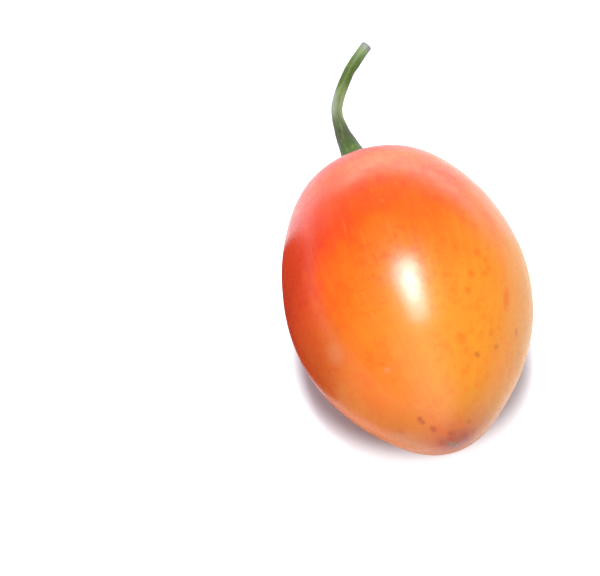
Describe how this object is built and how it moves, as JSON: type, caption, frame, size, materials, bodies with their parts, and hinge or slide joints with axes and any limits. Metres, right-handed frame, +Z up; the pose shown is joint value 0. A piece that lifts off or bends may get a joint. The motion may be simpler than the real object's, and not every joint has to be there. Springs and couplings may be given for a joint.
{
  "type": "tamarillo fruit with calyx and stem",
  "caption": "Ripe egg-shaped tamarillo lying on its side, glossy orange-red skin with a pointed tip, a lobed green calyx in a raised ring and a curved cut stem.",
  "frame": {"origin": "middle of the small flat spot that the fruit rests on", "axes": "+Y along the fruit from its tip to its stem, +Z up, +X to the right seen from the tip"},
  "size_m": [0.048, 0.1031, 0.0475],
  "materials": {
    "ripe_skin": "smooth waxy fruit skin, orange to red, glossy with a faint bloom",
    "green_calyx": "leathery olive green with dry tan papery margins",
    "green_stem": "matt green stalk with fine lengthwise lines and a pale cut end"
  },
  "bodies": {
    "root": {"fruit": "ripe_skin", "calyx": "green_calyx", "stem": "green_stem"}
  },
  "joints": []
}
